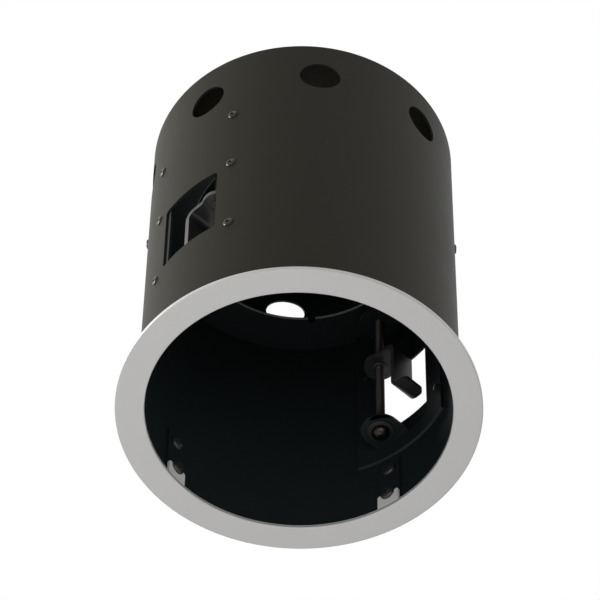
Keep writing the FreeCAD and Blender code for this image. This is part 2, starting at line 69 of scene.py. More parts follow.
class Workshop:
    """Bench tools: each one shapes a mesh with the operators of edit and object mode."""

    @staticmethod
    def clear() -> None:
        """Leave edit mode and deselect everything."""
        if bpy.context.object and bpy.context.object.mode != "OBJECT":
            bpy.ops.object.mode_set(mode="OBJECT")
        bpy.ops.object.select_all(action="DESELECT")

    @classmethod
    def hold(cls, piece: Mesh) -> Mesh:
        """Select one piece alone and make it active."""
        cls.clear()
        piece.select_set(True)
        bpy.context.view_layer.objects.active = piece
        return piece

    @classmethod
    def adopt(cls, name: str) -> Mesh:
        """Name the primitive that was just added."""
        piece = bpy.context.object
        piece.name = name
        piece.data.name = name
        return piece

    @classmethod
    @contextmanager
    def editing(
        cls, piece: Mesh, kind: str = "VERT", picks: Callable[[Any], bool] | None = None
    ) -> Iterator[None]:
        """Open a piece in edit mode with all of it selected, or only what passes a test.

        Args:
            piece: the mesh to open.
            kind: the select mode, VERT or EDGE.
            picks: the test for its vertices or edges.
        """
        cls.hold(piece)
        bpy.ops.object.mode_set(mode="EDIT")
        bpy.ops.mesh.select_mode(type=kind)
        bpy.ops.mesh.select_all(action="DESELECT" if picks else "SELECT")
        if picks:
            bpy.ops.object.mode_set(mode="OBJECT")
            for item in piece.data.edges if kind == "EDGE" else piece.data.vertices:
                item.select = picks(item)
            bpy.ops.object.mode_set(mode="EDIT")
        yield
        bpy.ops.object.mode_set(mode="OBJECT")

    @classmethod
    def traced(cls, name: str, points: Sequence[Sequence[float]]) -> Mesh:
        """Draw a chain of edges through points by extruding one vertex along it."""
        cls.clear()
        bpy.ops.mesh.primitive_plane_add(size=MM)
        piece = cls.adopt(name)
        bpy.ops.object.mode_set(mode="EDIT")
        bpy.ops.mesh.select_mode(type="VERT")
        bpy.ops.mesh.select_all(action="SELECT")
        bpy.ops.mesh.merge(type="CENTER")
        bpy.ops.transform.translate(value=tuple(points[0]))
        for here, there in zip(points, points[1:]):
            move = tuple(b - a for a, b in zip(here, there))
            bpy.ops.mesh.extrude_region_move(TRANSFORM_OT_translate={"value": move})
        bpy.ops.mesh.select_all(action="SELECT")
        bpy.ops.mesh.remove_doubles(threshold=MM / 1000)
        return piece

    @classmethod
    def turned(cls, name: str, outline: Sequence[Point], steps: int, closed: bool = True) -> Mesh:
        """Spin an outline round the Z axis, as on a lathe.

        Args:
            name: name of the new piece.
            outline: radius and height of each corner of the section, in metres.
            steps: how many facets go round.
            closed: whether the outline's end joins its start.

        Returns:
            The new piece.
        """
        corners = list(outline) + list(outline[:1]) if closed else list(outline)
        piece = cls.traced(name, [(radius, 0, height) for radius, height in corners])
        bpy.ops.mesh.spin(steps=steps, angle=2 * math.pi, center=(0, 0, 0), axis=(0, 0, 1))
        return cls.sealed(piece)

    @classmethod
    def sealed(cls, piece: Mesh) -> Mesh:
        """Merge doubles and turn all faces outwards."""
        with cls.editing(piece):
            bpy.ops.mesh.remove_doubles(threshold=MM / 1000)
            bpy.ops.mesh.normals_make_consistent(inside=False)
        return piece

    @classmethod
    def block(cls, name: str, low: Sequence[float], high: Sequence[float]) -> Mesh:
        """Add a box between two corners."""
        cls.clear()
        centre = [(a + b) / 2 for a, b in zip(low, high)]
        bpy.ops.mesh.primitive_cube_add(size=1, location=centre)
        piece = cls.adopt(name)
        piece.scale = [b - a for a, b in zip(low, high)]
        bpy.ops.object.transform_apply()
        return piece

    @classmethod
    def rod(
        cls, name: str, radius: float, low: Sequence[float], high: Sequence[float], sides: int = 64
    ) -> Mesh:
        """Add a round or many-sided bar between two points."""
        cls.clear()
        start, end = Vector(low), Vector(high)
        turn = (end - start).to_track_quat("Z", "Y").to_euler()
        middle = (start + end) / 2
        bpy.ops.mesh.primitive_cylinder_add(
            vertices=sides, radius=radius, depth=(end - start).length, location=middle, rotation=turn
        )
        piece = cls.adopt(name)
        bpy.ops.object.transform_apply()
        return piece

    @classmethod
    def use(cls, piece: Mesh, kind: str, **settings: Any) -> Mesh:
        """Add a modifier, set it and apply it."""
        cls.hold(piece)
        modifier = piece.modifiers.new(kind.lower(), kind)
        for key, value in settings.items():
            setattr(modifier, key, value)
        bpy.ops.object.modifier_apply(modifier=modifier.name)
        return piece

    @classmethod
    def work(cls, piece: Mesh, tools: Iterable[Mesh], how: Solver = Solver.CUT) -> Mesh:
        """Cut a piece with other meshes, or join it to them, and remove those.

        Args:
            piece: the mesh that stays.
            tools: the meshes that act on it.
            how: whether they cut, join or limit the piece.

        Returns:
            The piece.
        """
        for tool in tools:
            cls.use(piece, "BOOLEAN", operation=how.value, object=tool, solver="EXACT")
            bpy.data.objects.remove(tool)
        return piece

    @classmethod
    def placed(
        cls, piece: Mesh, azimuth: float = 0.0, shift: Sequence[float] = (0, 0, 0), lay: float = 0.0
    ) -> Mesh:
        """Lay a piece over about Y, shift it, then turn it about the housing's centre line.

        Args:
            piece: the piece, made on the Z axis.
            azimuth: final turn about Z, in degrees.
            shift: move before that turn, in metres.
            lay: turn about Y before the move, in degrees.

        Returns:
            The piece, its place in its mesh.
        """
        cls.hold(piece)
        piece.rotation_euler = (0, math.radians(lay), 0)
        bpy.ops.object.transform_apply()
        piece.location = shift
        bpy.ops.object.transform_apply()
        piece.rotation_euler = (0, 0, math.radians(azimuth))
        bpy.ops.object.transform_apply()
        return piece

    @classmethod
    def trimmed(cls, piece: Mesh, point: Sequence[float], normal: Sequence[float]) -> Mesh:
        """Saw off what lies on the normal's side of a plane and close the cut."""
        with cls.editing(piece):
            bpy.ops.mesh.bisect(plane_co=point, plane_no=normal, use_fill=True, clear_outer=True)
        return piece

    @classmethod
    def sector(cls, name: str, radii: Point, heights: Point, half_angle: float) -> Mesh:
        """Make a curved plate on the +X side that spans an angle each way.

        Args:
            name: name of the new piece.
            radii: inner and outer radius.
            heights: lower and upper edge.
            half_angle: reach each way from +X, in degrees, under 90.

        Returns:
            The plate.
        """
        inner, outer = radii
        low, high = heights
        piece = cls.turned(name, [(inner, low), (outer, low), (outer, high), (inner, high)], FACETS)
        angle = math.radians(half_angle)
        for side in (-1, 1):
            cls.trimmed(piece, (0, 0, 0), (-math.sin(angle), side * math.cos(angle), 0))
        return piece

    @classmethod
    def rounded(
        cls, piece: Mesh, radius: float, segments: int, picks: Callable[[Vector, Vector], bool]
    ) -> Mesh:
        """Round the edges whose two ends pass a test."""
        ends = [vertex.co.copy() for vertex in piece.data.vertices]
        with cls.editing(piece, "EDGE", lambda edge: picks(*(ends[index] for index in edge.vertices))):
            bpy.ops.mesh.bevel(offset=radius, segments=segments, affect="EDGES")
        return piece

    @classmethod
    def narrowed(cls, piece: Mesh, height: float, share: float) -> Mesh:
        """Scale what lies below a height towards the Z axis, so that the sides slope."""
        with cls.editing(piece, "VERT", lambda vertex: vertex.co.z < height):
            bpy.ops.transform.resize(value=(share, share, 1), center_override=(0, 0, 0))
        return piece

    @classmethod
    def softened(cls, piece: Mesh, width: float, segments: int = 2, angle: float = 35.0) -> Mesh:
        """Round the sharp edges a little and shade the rest smooth."""
        limit = math.radians(angle)
        if width:
            cls.use(piece, "BEVEL", width=width, segments=segments, limit_method="ANGLE", angle_limit=limit)
        cls.hold(piece)
        bpy.ops.object.shade_smooth_by_angle(angle=limit)
        return cls.use(piece, "WEIGHTED_NORMAL", keep_sharp=True)

    @classmethod
    def joined(cls, name: str, pieces: Sequence[Mesh]) -> Mesh:
        """Join separate meshes into one named piece."""
        cls.clear()
        for piece in pieces:
            piece.select_set(True)
        bpy.context.view_layer.objects.active = pieces[0]
        if len(pieces) > 1:
            bpy.ops.object.join()
        return cls.adopt(name)

    @classmethod
    def copied(cls, piece: Mesh, name: str) -> Mesh:
        """Copy a piece with a mesh of its own."""
        twin = piece.copy()
        twin.data = piece.data.copy()
        twin.name = name
        twin.data.name = name
        bpy.context.scene.collection.objects.link(twin)
        return twin

    @classmethod
    def repeated(cls, first: Mesh, name: str, places: Iterable[Point]) -> Mesh:
        """Set a copy of a piece at each azimuth and rise, and join the copies in its stead."""
        copies = [cls.placed(cls.copied(first, name), azimuth, (0, 0, rise)) for azimuth, rise in places]
        bpy.data.objects.remove(first)
        return cls.joined(name, copies)


def arc(centre: Point, radius: float, start: float, end: float, steps: int) -> list[Point]:
    """Return points on an arc, angles in degrees from the first axis towards the second."""
    angles = [math.radians(start + (end - start) * step / steps) for step in range(steps + 1)]
    return [(centre[0] + radius * math.cos(a), centre[1] + radius * math.sin(a)) for a in angles]


def corner_test(half: float, levels: Sequence[float]) -> Callable[[Vector, Vector], bool]:
    """Return a test for the edges that run through a curved sheet at its corners.

    Args:
        half: reach of the sheet each way from the XZ plane.
        levels: heights of the corners.

    Returns:
        A function that takes an edge's two ends.
    """
    slack, thinnest = 0.3 * MM, 1 * MM

    def at_corner(first: Vector, second: Vector) -> bool:
        """Say whether an edge is one of them."""
        at_side = min(abs(first.y), abs(second.y)) > half - slack
        at_level = any(max(abs(first.z - level), abs(second.z - level)) < MM / 100 for level in levels)
        return at_side and at_level and abs(first.xy.length - second.xy.length) > thinnest

    return at_corner


def scaled(shares: Sequence[Point], width: float, rise: float, base: float = 0.0) -> list[Point]:
    """Return points whose radii and heights are shares of a width and of a rise above a base."""
    return [(width * across, base + rise * up) for across, up in shares]


class Value:
    """One shader socket that takes part in arithmetic."""

    def __init__(self, graph: "Graph", socket: bpy.types.NodeSocket) -> None:
        """Keep the graph and the socket."""
        self.graph = graph
        self.socket = socket

    def _math(self, operation: str, first: Any, second: Any) -> "Value":
        """Add one Math node."""
        return self.graph.node("ShaderNodeMath", {"operation": operation}, {0: first, 1: second})

    def __add__(self, other: Any) -> "Value":
        """Return the sum."""
        return self._math("ADD", self, other)

    def __rsub__(self, other: Any) -> "Value":
        """Return the difference, turned round."""
        return self._math("SUBTRACT", other, self)

    def __mul__(self, other: Any) -> "Value":
        """Return the product."""
        return self._math("MULTIPLY", self, other)

    def above(self, other: Any) -> "Value":
        """Return 1 where this value is the greater one."""
        return self._math("GREATER_THAN", self, other)

    def at_least(self, other: Any) -> "Value":
        """Return the greater of two values."""
        return self._math("MAXIMUM", self, other)


class Graph:
    """The node tree of one material or world."""

    def __init__(self, tree: bpy.types.NodeTree) -> None:
        """Empty the tree."""
        self.tree = tree
        tree.nodes.clear()

    def node(self, kind: str, settings: dict[str, Any], inputs: dict[Any, Any], output: Any = 0) -> Value:
        """Add one node.

        Args:
            kind: the node's type.
            settings: its properties, set first.
            inputs: values or links, by socket name or number.
            output: name or number of the socket to return.

        Returns:
            The chosen output.
        """
        node = self.tree.nodes.new(kind)
        for key, value in settings.items():
            setattr(node, key, value)
        for key, value in inputs.items():
            if isinstance(value, Value):
                self.tree.links.new(value.socket, node.inputs[key])
            else:
                node.inputs[key].default_value = value
        return Value(self, node.outputs[output] if len(node.outputs) else None)

    def place(self) -> Value:
        """Return the surface point in the piece's own coordinates."""
        return self.node("ShaderNodeTexCoord", {}, {}, "Object")

    def stretched(self, scale: Colour) -> Value:
        """Return the surface point, scaled along each axis."""
        return self.node("ShaderNodeMapping", {}, {"Vector": self.place(), "Scale": scale})

    def noise(self, scale: float, detail: float = 3.0, vector: Value | None = None) -> Value:
        """Return a cloudy value between 0 and 1."""
        inputs = {"Vector": vector or self.place(), "Scale": scale, "Detail": detail}
        return self.node("ShaderNodeTexNoise", {}, inputs, 0)

    def speckle(self, scale: float) -> Value:
        """Return the distance to the nearest of many scattered points."""
        return self.node("ShaderNodeTexVoronoi", {}, {"Vector": self.place(), "Scale": scale}, "Distance")

    def span(self, axes: Colour) -> Value:
        """Return the surface point's distance from the origin, counted along the given axes."""
        length = {"operation": "LENGTH"}
        return self.node("ShaderNodeVectorMath", length, {0: self.stretched(axes)}, "Value")

    def blend(self, amount: Value, low: Colour | Value, high: Colour | Value) -> Value:
        """Mix two colours, or two links that carry colours, by a value."""
        first, second = (tone if isinstance(tone, Value) else (*tone, 1.0) for tone in (low, high))
        return self.node("ShaderNodeMix", {"data_type": "RGBA"}, {0: amount, 6: first, 7: second}, 2)

    def bump(self, height: Value, strength: float, distance: float) -> Value:
        """Turn a height into a normal."""
        inputs = {"Height": height, "Strength": strength, "Distance": distance}
        return self.node("ShaderNodeBump", {}, inputs, "Normal")


def new_material(name: str) -> tuple[bpy.types.Material, Graph]:
    """Return a new material and its empty graph."""
    material = bpy.data.materials.new(name)
    material.use_nodes = True
    return material, Graph(material.node_tree)


WARM_BLACK = ((0.0135, 0.0122, 0.0082), (0.0185, 0.0168, 0.0116))
# painted shade: the same black paint as outside, made darker and colder where it lies inside the tube
INSIDE_SHADE_BLACK = ((0.0075, 0.0105, 0.0115), (0.0120, 0.0165, 0.0180))


@dataclass(frozen=True)
class Finish:
    """A finish that a maker gives to metal."""

    name: str
    tones: Tones
    rough: Point
    metallic: float
    grain: float
    grain_depth: float
    specular: float = 0.5

    def material(self) -> bpy.types.Material:
        """Return the material of this finish."""
        material, graph = new_material(self.name)
        smooth, rough = self.rough
        cloud = self.cloud(graph)
        surface = graph.node(
            "ShaderNodeBsdfPrincipled",
            {},
            {
                "Base Color": self.tone(graph, cloud),
                "Roughness": cloud * (rough - smooth) + smooth,
                "Metallic": self.metallic,
                "Specular IOR Level": self.specular,
                "Normal": graph.bump(self.relief(graph), 1.0, self.grain_depth),
            },
        )
        graph.node("ShaderNodeOutputMaterial", {}, {"Surface": surface})
        return material

    def tone(self, graph: Graph, cloud: Value) -> Value:
        """Return the colour, shifted a little by the cloud."""
        return graph.blend(cloud, *self.tones)

    def cloud(self, graph: Graph) -> Value:
        """Return the value that shifts colour and roughness over the surface."""
        return graph.noise(35.0, 4.0) * 0.6 + graph.noise(700.0, 2.0) * 0.4

    def relief(self, graph: Graph) -> Value:
        """Return the height of the finish's grain."""
        return graph.noise(self.grain, 3.0)


@dataclass(frozen=True)
class PowderCoat(Finish):
    """Baked powder: fine bumps like orange peel, with tiny pits between them."""

    def relief(self, graph: Graph) -> Value:
        """Return soft bumps with finer grains on them."""
        return graph.noise(self.grain, 2.0) * 0.7 + graph.speckle(self.grain * 1.8) * 0.3


@dataclass(frozen=True)
class PaintedLightCoat(PowderCoat):
    """Powder coat with a second pair of colours within a border radius: painted shade on a tube's inside, a
    painted highlight on a hole's rim.
    """

    inner: Tones = INSIDE_SHADE_BLACK
    border: float = 81 * MM

    def tone(self, graph: Graph, cloud: Value) -> Value:
        """Return the second colours on the near side of the border and the first ones beyond it."""
        inner = graph.blend(cloud, *self.inner)
        return graph.blend(self.beyond(graph), inner, graph.blend(cloud, *self.tones))

    def beyond(self, graph: Graph) -> Value:
        """Return 1 outside the border radius and 0 inside it."""
        return graph.span((1.0, 1.0, 0.0)).above(self.border)


@dataclass(frozen=True)
class FootedCoat(PaintedLightCoat):
    """Powder coat below a border height, with the second pair of colours above it."""

    def beyond(self, graph: Graph) -> Value:
        """Return 1 below the border height and 0 above it."""
        return 1.0 - graph.span((0.0, 0.0, 1.0)).above(self.border)


@dataclass(frozen=True)
class DrawnSteel(Finish):
    """Steel with faint lines along one axis from drawing or rolling."""

    lines: Colour = (1.0, 1.0, 0.04)

    def cloud(self, graph: Graph) -> Value:
        """Return streaks along the drawing direction over a slow cloud."""
        streaks = graph.noise(self.grain, 3.0, graph.stretched(self.lines))
        return streaks * 0.6 + graph.noise(120.0, 3.0) * 0.4

    def relief(self, graph: Graph) -> Value:
        """Return the drawn lines as height."""
        return graph.noise(self.grain, 2.0, graph.stretched(self.lines))


class Palette:
    """The finishes of the housing, each made once."""

    def __init__(self) -> None:
        """Make the materials."""
        # painted shade: within the 81 mm border radius the tube's inner wall and the plates take the darker,
        # colder black
        self.black_paint = PaintedLightCoat(
            "matt_black_powder", WARM_BLACK, (0.42, 0.56), 0.0, 900.0, 0.06 * MM, 0.07
        ).material()
        self.lid_paint = PowderCoat(
            "matt_black_powder_lid", WARM_BLACK, (0.42, 0.56), 0.0, 900.0, 0.06 * MM, 0.07
        ).material()
        # painted highlight: the lighter colours below 41.22 mm stand for light caught along the bracket's
        # bottom edge; above it lies the painted inside shade
        self.bracket_paint = FootedCoat(
            "black_powder_painted_edge_highlight", ((0.026, 0.029, 0.030), (0.045, 0.048, 0.049)), (0.38, 0.5), 0.0,
            900.0, 0.05 * MM, 0.16, INSIDE_SHADE_BLACK, 41.22 * MM,
        ).material()
        # painted highlight: the grey within 58.95 mm lights up the rolled rim of the lamp hole; the rest of
        # the ring carries the painted inside shade
        self.partition_paint = PaintedLightCoat(
            "black_powder_painted_rim_highlight", INSIDE_SHADE_BLACK, (0.40, 0.54), 0.0, 900.0, 0.04 * MM, 0.2,
            ((0.16, 0.165, 0.165), (0.24, 0.245, 0.245)), 58.95 * MM,
        ).material()
        # painted light: above 2.05 mm the lugs take a lighter tone of the same silver paint, standing for
        # the light that falls on them
        self.silver_paint = FootedCoat(
            "satin_silver_powder_painted_lug_light", ((0.40, 0.395, 0.388), (0.46, 0.455, 0.448)), (0.38, 0.5), 0.25, 1100.0,
            0.04 * MM, 0.5, ((0.74, 0.74, 0.70), (0.82, 0.82, 0.78)), 2.05 * MM,
        ).material()
        self.black_steel = DrawnSteel(
            "blackened_steel", ((0.018, 0.018, 0.019), (0.05, 0.05, 0.052)), (0.28, 0.5), 0.6, 500.0,
            0.03 * MM,
        ).material()
        self.rivet_steel = DrawnSteel(
            "blackened_rivet", ((0.012, 0.0112, 0.0094), (0.030, 0.028, 0.024)), (0.22, 0.38), 0.5, 900.0,
            0.02 * MM,
        ).material()
        self.claw_paint = DrawnSteel(
            "blackened_strip", ((0.012, 0.012, 0.012), (0.03, 0.03, 0.03)), (0.3, 0.46), 0.5, 450.0,
            0.03 * MM,
        ).material()
        # bare steel on the claw's cut edges, lightened into a painted highlight along them
        self.claw_edge_highlight_steel = DrawnSteel(
            "claw_edge_steel_painted_highlight", ((0.08, 0.077, 0.073), (0.16, 0.155, 0.148)), (0.34, 0.5), 0.75, 450.0,
            0.03 * MM,
        ).material()
        self.zinc_steel = DrawnSteel(
            "dark_zinc_steel", ((0.018, 0.016, 0.0145), (0.046, 0.041, 0.037)), (0.28, 0.44), 1.0, 700.0,
            0.02 * MM,
        ).material()


class Layout:
    """Radii and heights that the pieces share, read from the frame or named here in metres."""

    wall = 1.2 * MM
    sheet = 1.5 * MM
    gap = 0.05 * MM
    lug_sheet = 1.4 * MM

    def __init__(self) -> None:
        """Read the frame."""
        self.units = {"a": -136.0, "b": 44.0}
        self.fixings = (53.0, 143.0, 233.0, 323.0)
        self.tube_low, self.tube_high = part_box("housing_tube")
        self.outer = self.tube_high.x
        self.inner = self.outer - self.wall
        self.liner = self.inner - self.gap
        self.lining = self.liner - self.sheet
        self.ring_top = self.tube_low.z
        self.ring_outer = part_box("trim_ring")[1].x
        self.ring_opening = self.lining - self.gap - self.lug_sheet
        self.lug_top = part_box("trim_ring")[1].z
        self.lower_screw = self.lug_top - 0.5 * MM
        self.upper_screw = self.lower_screw + 19.5 * MM
        self.window = (64 * MM, 110 * MM)
        self.window_half = 19 * MM
        self.bracket = (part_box("clamp_bracket_a")[0].z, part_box("clamp_bracket_a")[1].z)
        self.shelf_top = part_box("screw_washer_a")[1].z + self.sheet
        self.upper_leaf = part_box("lock_nut_a")[0].z - self.gap - self.sheet
        self.screw_radius = self.lining - 10.95 * MM
        self.screw_offset = 8.5 * MM
        partition_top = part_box("partition_ring")[1].z
        self.partition = (partition_top - self.sheet, partition_top)
        self.rivet_side = math.degrees(math.asin(26.6 * MM / self.outer))
        self.bracket_side = math.degrees(math.asin(31.3 * MM / self.outer))
        self.rivet_heights = (self.window[0] - 2 * MM, self.window[1] + 2.5 * MM, self.bracket[1] - 5 * MM)


@dataclass
class Bench:
    """What every sub-assembly needs to build its pieces, and the record of those made."""

    shop: type[Workshop]
    palette: Palette
    layout: Layout
    made: list[str] = field(default_factory=list)

    def fit(self, piece: Mesh, finish: bpy.types.Material, body: str, slot: str, node: str) -> None:
        """Give a piece its finish and its body, and hide the frame's node that it replaces.

        Args:
            piece: the finished mesh.
            finish: its material.
            body: the body it rides on.
            slot: the record's material slot, not used.
            node: the frame's node that it replaces.
        """
        piece.data.materials.clear()
        piece.data.materials.append(finish)
        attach(piece, body)
        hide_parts(node)
        self.made.append(piece.name)
        log.info("%s rides on %s", piece.name, body)


@dataclass
class HousingShell:
    """The tube with its holes and windows, and the lid pressed into its top."""

    bench: Bench
    hole_radius: float = 10.8 * MM
    hole_height: float = 180 * MM
    hole_count: int = 8
    hole_start: float = -84.0
    window_corner: float = 2 * MM
    sheet: float = 1.2 * MM
    lid_bend: float = 1.6 * MM
    dish: float = 0.6 * MM
    dish_radius: float = 62 * MM
    edge: float = 0.2 * MM

    def build(self) -> None:
        """Make the tube and the lid."""
        shop, layout = self.bench.shop, self.bench.layout
        low, high = layout.tube_low.z, layout.tube_high.z
        section = [(layout.inner, low), (layout.outer, low), (layout.outer, high), (layout.inner, high)]
        shell = shop.turned("tube_wall", section, FACETS)
        shop.work(shell, self.cutters())
        shop.softened(shell, self.edge)
        palette = self.bench.palette
        self.bench.fit(shell, palette.black_paint, "housing", "black_paint", "housing_tube")
        self.bench.fit(self.lid(), palette.lid_paint, "housing", "black_paint", "top_cover")

    def cutters(self) -> list[Mesh]:
        """Return the cutters for the round holes and the windows."""
        shop, layout = self.bench.shop, self.bench.layout
        start, end = layout.outer / 2, layout.outer * 1.1
        tools, height = [], self.hole_height
        for index in range(self.hole_count):
            tool = shop.rod("hole", self.hole_radius, (start, 0, height), (end, 0, height), 72)
            tools.append(shop.placed(tool, self.hole_start + index * 360 / self.hole_count))
        half = layout.window_half
        for azimuth in layout.units.values():
            tool = shop.block("window", (start, -half, layout.window[0]), (end, half, layout.window[1]))
            shop.rounded(tool, self.window_corner, 6, lambda a, b: abs(a.x - b.x) > (end - start) / 2)
            tools.append(shop.placed(tool, azimuth))
        return tools

    def lid(self) -> Mesh:
        """Return the lid, a pressed disc with its rim turned down inside the tube."""
        shop = self.bench.shop
        low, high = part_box("top_cover")
        radius, bend, top = high.x, self.lid_bend, high.z
        dish, step = self.dish, self.dish_radius
        outline = [(0, top - dish), (step, top - dish), (step + 2 * dish, top)]
        outline += list(reversed(arc((radius - bend, top - bend), bend, 0, 90, 6)))
        outline += [(radius, low.z), (radius - self.sheet, low.z)]
        outline += arc((radius - bend, top - bend), bend - self.sheet, 0, 90, 3)
        under = top - dish - self.sheet
        outline += [(step + 2 * dish, top - self.sheet), (step, under), (0, under)]
        return shop.softened(shop.turned("top_lid", outline, FACETS, closed=False), 0.0)


@dataclass
class TrimRing:
    """The flat ring below the ceiling, with four upright lugs at its opening."""

    bench: Bench
    edge: float = 0.6 * MM
    lug_half: float = 6.5 * MM
    slot_radius: float = 2.05 * MM
    lug_corner: float = 1.2 * MM

    def build(self) -> None:
        """Make the ring and its lugs as one piece."""
        shop, layout = self.bench.shop, self.bench.layout
        inner, outer, top, edge = layout.ring_opening, layout.ring_outer, layout.ring_top, self.edge
        outline = arc((inner + edge, edge), edge, 180, 270, 5)
        outline += arc((outer - edge, edge), edge, 270, 360, 5)
        outline += arc((outer - edge / 3, top - edge / 3), edge / 3, 0, 90, 2)
        outline += [(inner, top)]
        ring = shop.turned("trim_flange", outline, FACETS)
        shop.work(ring, [shop.placed(self.lug(), azimuth) for azimuth in layout.fixings], Solver.JOIN)
        shop.softened(ring, 0.0)
        self.bench.fit(ring, self.bench.palette.silver_paint, "housing", "silver_paint", "trim_ring")

    def lug(self) -> Mesh:
        """Return one lug on the +X side, its slot open at the top."""
        shop, layout = self.bench.shop, self.bench.layout
        radii = (layout.ring_opening, layout.ring_opening + layout.lug_sheet)
        reach = math.degrees(math.asin(self.lug_half / radii[1]))
        low, top = layout.ring_top - 0.4 * MM, layout.lug_top
        lug = shop.sector("lug", radii, (low, top), reach)
        shop.rounded(lug, self.lug_corner, 4, corner_test(self.lug_half, [top]))
        start, end, height = radii[0] - OVERRUN, radii[1] + OVERRUN, layout.lower_screw
        half = self.slot_radius
        notch = shop.rod("notch", half, (start, 0, height), (end, 0, height))
        mouth = shop.block("mouth", (start, -half, height), (end, half, top + OVERRUN))
        shop.work(lug, [notch, mouth])
        return shop.softened(lug, 0.12 * MM)


MANDREL = ((0, 0.35), (0.45, 0.28), (0.8, 0.05), (1, 0.1), (1.03, 0.88), (1.2, 1))
FLANGE = ((0.6, 0.96), (0.8, 0.8), (0.93, 0.52), (1, 0.22), (0.99, 0.02), (0.96, 0))
TAIL = ((0.9, 0), (1, 0.25), (0.97, 0.6), (0.75, 0.86), (0.4, 0.88), (0.3, 1), (0, 1))


@dataclass
class Rivets:
    """Pop rivets: a domed flange with the broken mandrel in it outside, a swollen tail inside."""

    bench: Bench
    head_radius: float = 2.7 * MM
    head_height: float = 1.1 * MM
    bore_radius: float = 0.95 * MM
    shank_radius: float = 1.6 * MM
    tail_radius: float = 2.2 * MM
    tail_height: float = 1.0 * MM
    steps: int = 32

    def rivet(self, grip: float) -> Mesh:
        """Return one rivet along Z, its flange seated on the XY plane."""
        shop = self.bench.shop
        outline = scaled(MANDREL, self.bore_radius, self.head_height)
        outline += scaled(FLANGE, self.head_radius, self.head_height)
        outline += [(self.shank_radius, 0), (self.shank_radius, -grip)]
        outline += scaled(TAIL, self.tail_radius, -self.tail_height, -grip)
        return shop.softened(shop.turned("rivet", outline, self.steps, closed=False), 0.0, angle=50)

    def row(self, name: str, places: Sequence[Point], lining: float, node: str) -> None:
        """Make one rivet at each azimuth and height and join them as one piece.

        Args:
            name: name of the piece.
            places: azimuth in degrees and height of each rivet.
            lining: inner radius of the innermost sheet.
            node: the node that the piece stands for.
        """
        shop, layout = self.bench.shop, self.bench.layout
        seat = math.sqrt(lining ** 2 - self.tail_radius ** 2)
        first = shop.placed(self.rivet(layout.outer - seat), lay=90, shift=(layout.outer, 0, 0))
        piece = shop.repeated(first, name, places)
        self.bench.fit(piece, self.bench.palette.rivet_steel, "housing", "black_steel", node)


@dataclass
class Partition:
    """The inner ring with its lamp hole, its tabs and their rivets."""

    bench: Bench
    width: float = 22 * MM
    roll: float = 0.35 * MM
    notch_azimuth: float = 84.0
    notch_half: float = 2 * MM
    notch_depth: float = 3 * MM
    tab_half: float = 9 * MM
    tab_drop: float = 17 * MM
    rivet_drop: float = 11 * MM
    notch_gap: float = 0.5 * MM
    tab_azimuths: Point = (0.0, 180.0)

    def build(self) -> None:
        """Make the ring, its tabs and its rivets."""
        shop, layout = self.bench.shop, self.bench.layout
        low, high = layout.partition
        hole, outer = layout.inner - self.width, layout.liner
        roll, sheet = self.roll, layout.sheet
        outline = arc((hole + roll, low + roll), roll, 270, 180, 3)
        outline += arc((hole + roll, high - roll), roll, 180, 90, 3)
        outline += [(outer, high), (outer, low)]
        ring = shop.turned("inner_partition", outline, FACETS)
        reach = math.degrees(math.asin(self.tab_half / outer))
        span = (low - self.tab_drop, high - sheet / 2)
        for azimuth in self.tab_azimuths:
            tab = shop.sector("tab", (outer - sheet, outer - 0.02 * MM), span, reach)
            shop.work(ring, [shop.placed(tab, azimuth)], Solver.JOIN)
        shop.work(ring, self.cutters(hole, low, high))
        shop.softened(ring, 0.15 * MM)
        paint = self.bench.palette.partition_paint
        self.bench.fit(ring, paint, "housing", "black_paint", "partition_ring")
        places = [(azimuth, low - self.rivet_drop) for azimuth in self.tab_azimuths]
        Rivets(self.bench).row("partition_rivet_pair", places, outer - sheet, "partition_rivets")

    def cutters(self, hole: float, low: float, high: float) -> list[Mesh]:
        """Return the cutters for the notch in the hole and for the room round the brackets."""
        shop, layout = self.bench.shop, self.bench.layout
        below, above = low - OVERRUN, high + OVERRUN
        near = (hole - OVERRUN, -self.notch_half, below)
        far = (hole + self.notch_depth, self.notch_half, above)
        tools = [shop.placed(shop.block("notch", near, far), self.notch_azimuth)]
        reach = layout.bracket_side + math.degrees(self.notch_gap / layout.inner)
        radii = (layout.lining - self.notch_gap, layout.liner + OVERRUN)
        for azimuth in layout.units.values():
            tools.append(shop.placed(shop.sector("room", radii, (below, above), reach), azimuth))
        return tools


@dataclass
class PanHead:
    """A pan-head screw with a driver's cross, its head on the XY plane and its shank below."""

    shop: type[Workshop]
    head_radius: float
    head_height: float
    cross_length: float
    cross_width: float = 1.1 * MM
    cross_depth: float = 2.0 * MM
    steps: int = 64

    def head(self, shank_radius: float, length: float) -> Mesh:
        """Return the screw with a plain shank of a given length."""
        shop, radius, rise = self.shop, self.head_radius, self.head_height
        skirt = rise * 0.25
        dome = scaled(arc((0, 0), 1, 0, 90, 8), radius, rise - skirt, skirt)
        outline = [(0, -length), (shank_radius, -length), (shank_radius, 0)]
        outline += [(radius * 0.97, 0), (radius, rise * 0.04), *dome]
        screw = shop.turned("screw", outline, self.steps, closed=False)
        deep = min(self.cross_depth, rise * 0.75)
        shop.work(screw, [self.cross(deep)])
        return shop.softened(screw, 0.08 * MM, 2, 40)

    def cross(self, deep: float) -> Mesh:
        """Return the cutter for the cross, its arms sloping to the middle."""
        shop = self.shop
        arm, half = self.cross_length / 2, self.cross_width / 2
        low, high = self.head_height - deep, self.head_height + 2 * MM
        tool = shop.block("cross", (-arm, -half, low), (arm, half, high))
        other = shop.block("cross_arm", (-half, -arm, low), (half, arm, high))
        shop.work(tool, [other], Solver.JOIN)
        return shop.narrowed(tool, low + deep / 10, 0.5)


